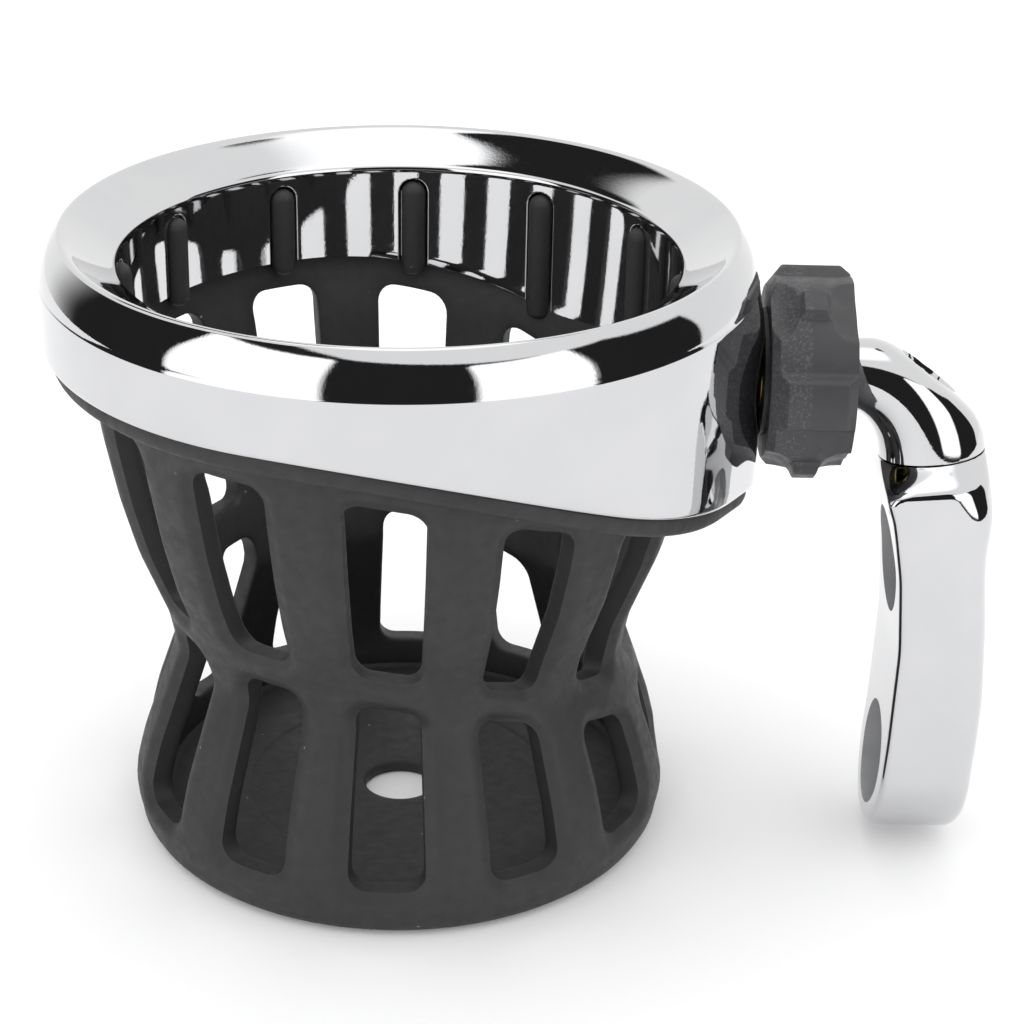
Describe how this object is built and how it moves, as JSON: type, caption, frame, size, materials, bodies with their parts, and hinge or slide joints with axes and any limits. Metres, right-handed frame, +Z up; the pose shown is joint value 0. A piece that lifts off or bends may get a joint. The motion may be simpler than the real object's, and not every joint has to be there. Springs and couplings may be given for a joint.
{
  "type": "drink holder on swivel arm",
  "caption": "Waisted rubber basket in a chrome trim ring, held level by a cranked chrome swivel arm with a lobed lock knob and a bolt-on bar.",
  "frame": {"origin": "centre of the drain hole in the plane of the basket's underside", "axes": "+Z up along the basket's axis, +X towards the arm along the swivel axis, +Y away from the side to which the arm stands off"},
  "size_m": [0.1497, 0.1106, 0.1016],
  "materials": {
    "chrome": "polished",
    "rubber": "matte",
    "knob_plastic": "fine grain",
    "washer_plastic": "satin",
    "brass": "turned",
    "steel": "turned"
  },
  "bodies": {
    "bar": {"mounting_bar": "chrome", "bar_set_screw": "steel"},
    "elbow": {"elbow": "chrome", "pivot_stud": "steel", "stud_pin": "steel", "stud_washer": "steel", "retaining_clip": "steel"},
    "washer": {"friction_washer": "washer_plastic"},
    "knob": {"lock_knob": "knob_plastic", "knob_insert": "brass"},
    "cup": {"trim_ring": "chrome", "basket": "rubber", "boss_bush": "brass"}
  },
  "joints": [
    {"name": "elbow_turn", "type": "hinge", "parent": "bar", "child": "elbow", "pos_m": [0.08427, -0.00129, 0.06616], "axis": [-0.1315, 0.1036, 0.9859], "range_deg": [-60, 60]},
    {"name": "cup_swivel", "type": "hinge", "parent": "elbow", "child": "cup", "pos_m": [0.0525, 0, 0.0784], "axis": [1, 0, 0], "continuous": true},
    {"name": "knob_travel", "type": "slide", "parent": "elbow", "child": "washer", "axis": [1, 0, 0], "range_m": [0, 0.001]},
    {"name": "knob_turn", "type": "hinge", "parent": "washer", "child": "knob", "pos_m": [0.0634, 0, 0.0784], "axis": [1, 0, 0], "range_deg": [0, 270]}
  ],
  "couplings": [
    {"joint": "knob_travel", "follows": "knob_turn", "m_per_rad": 0.00019894}
  ]
}
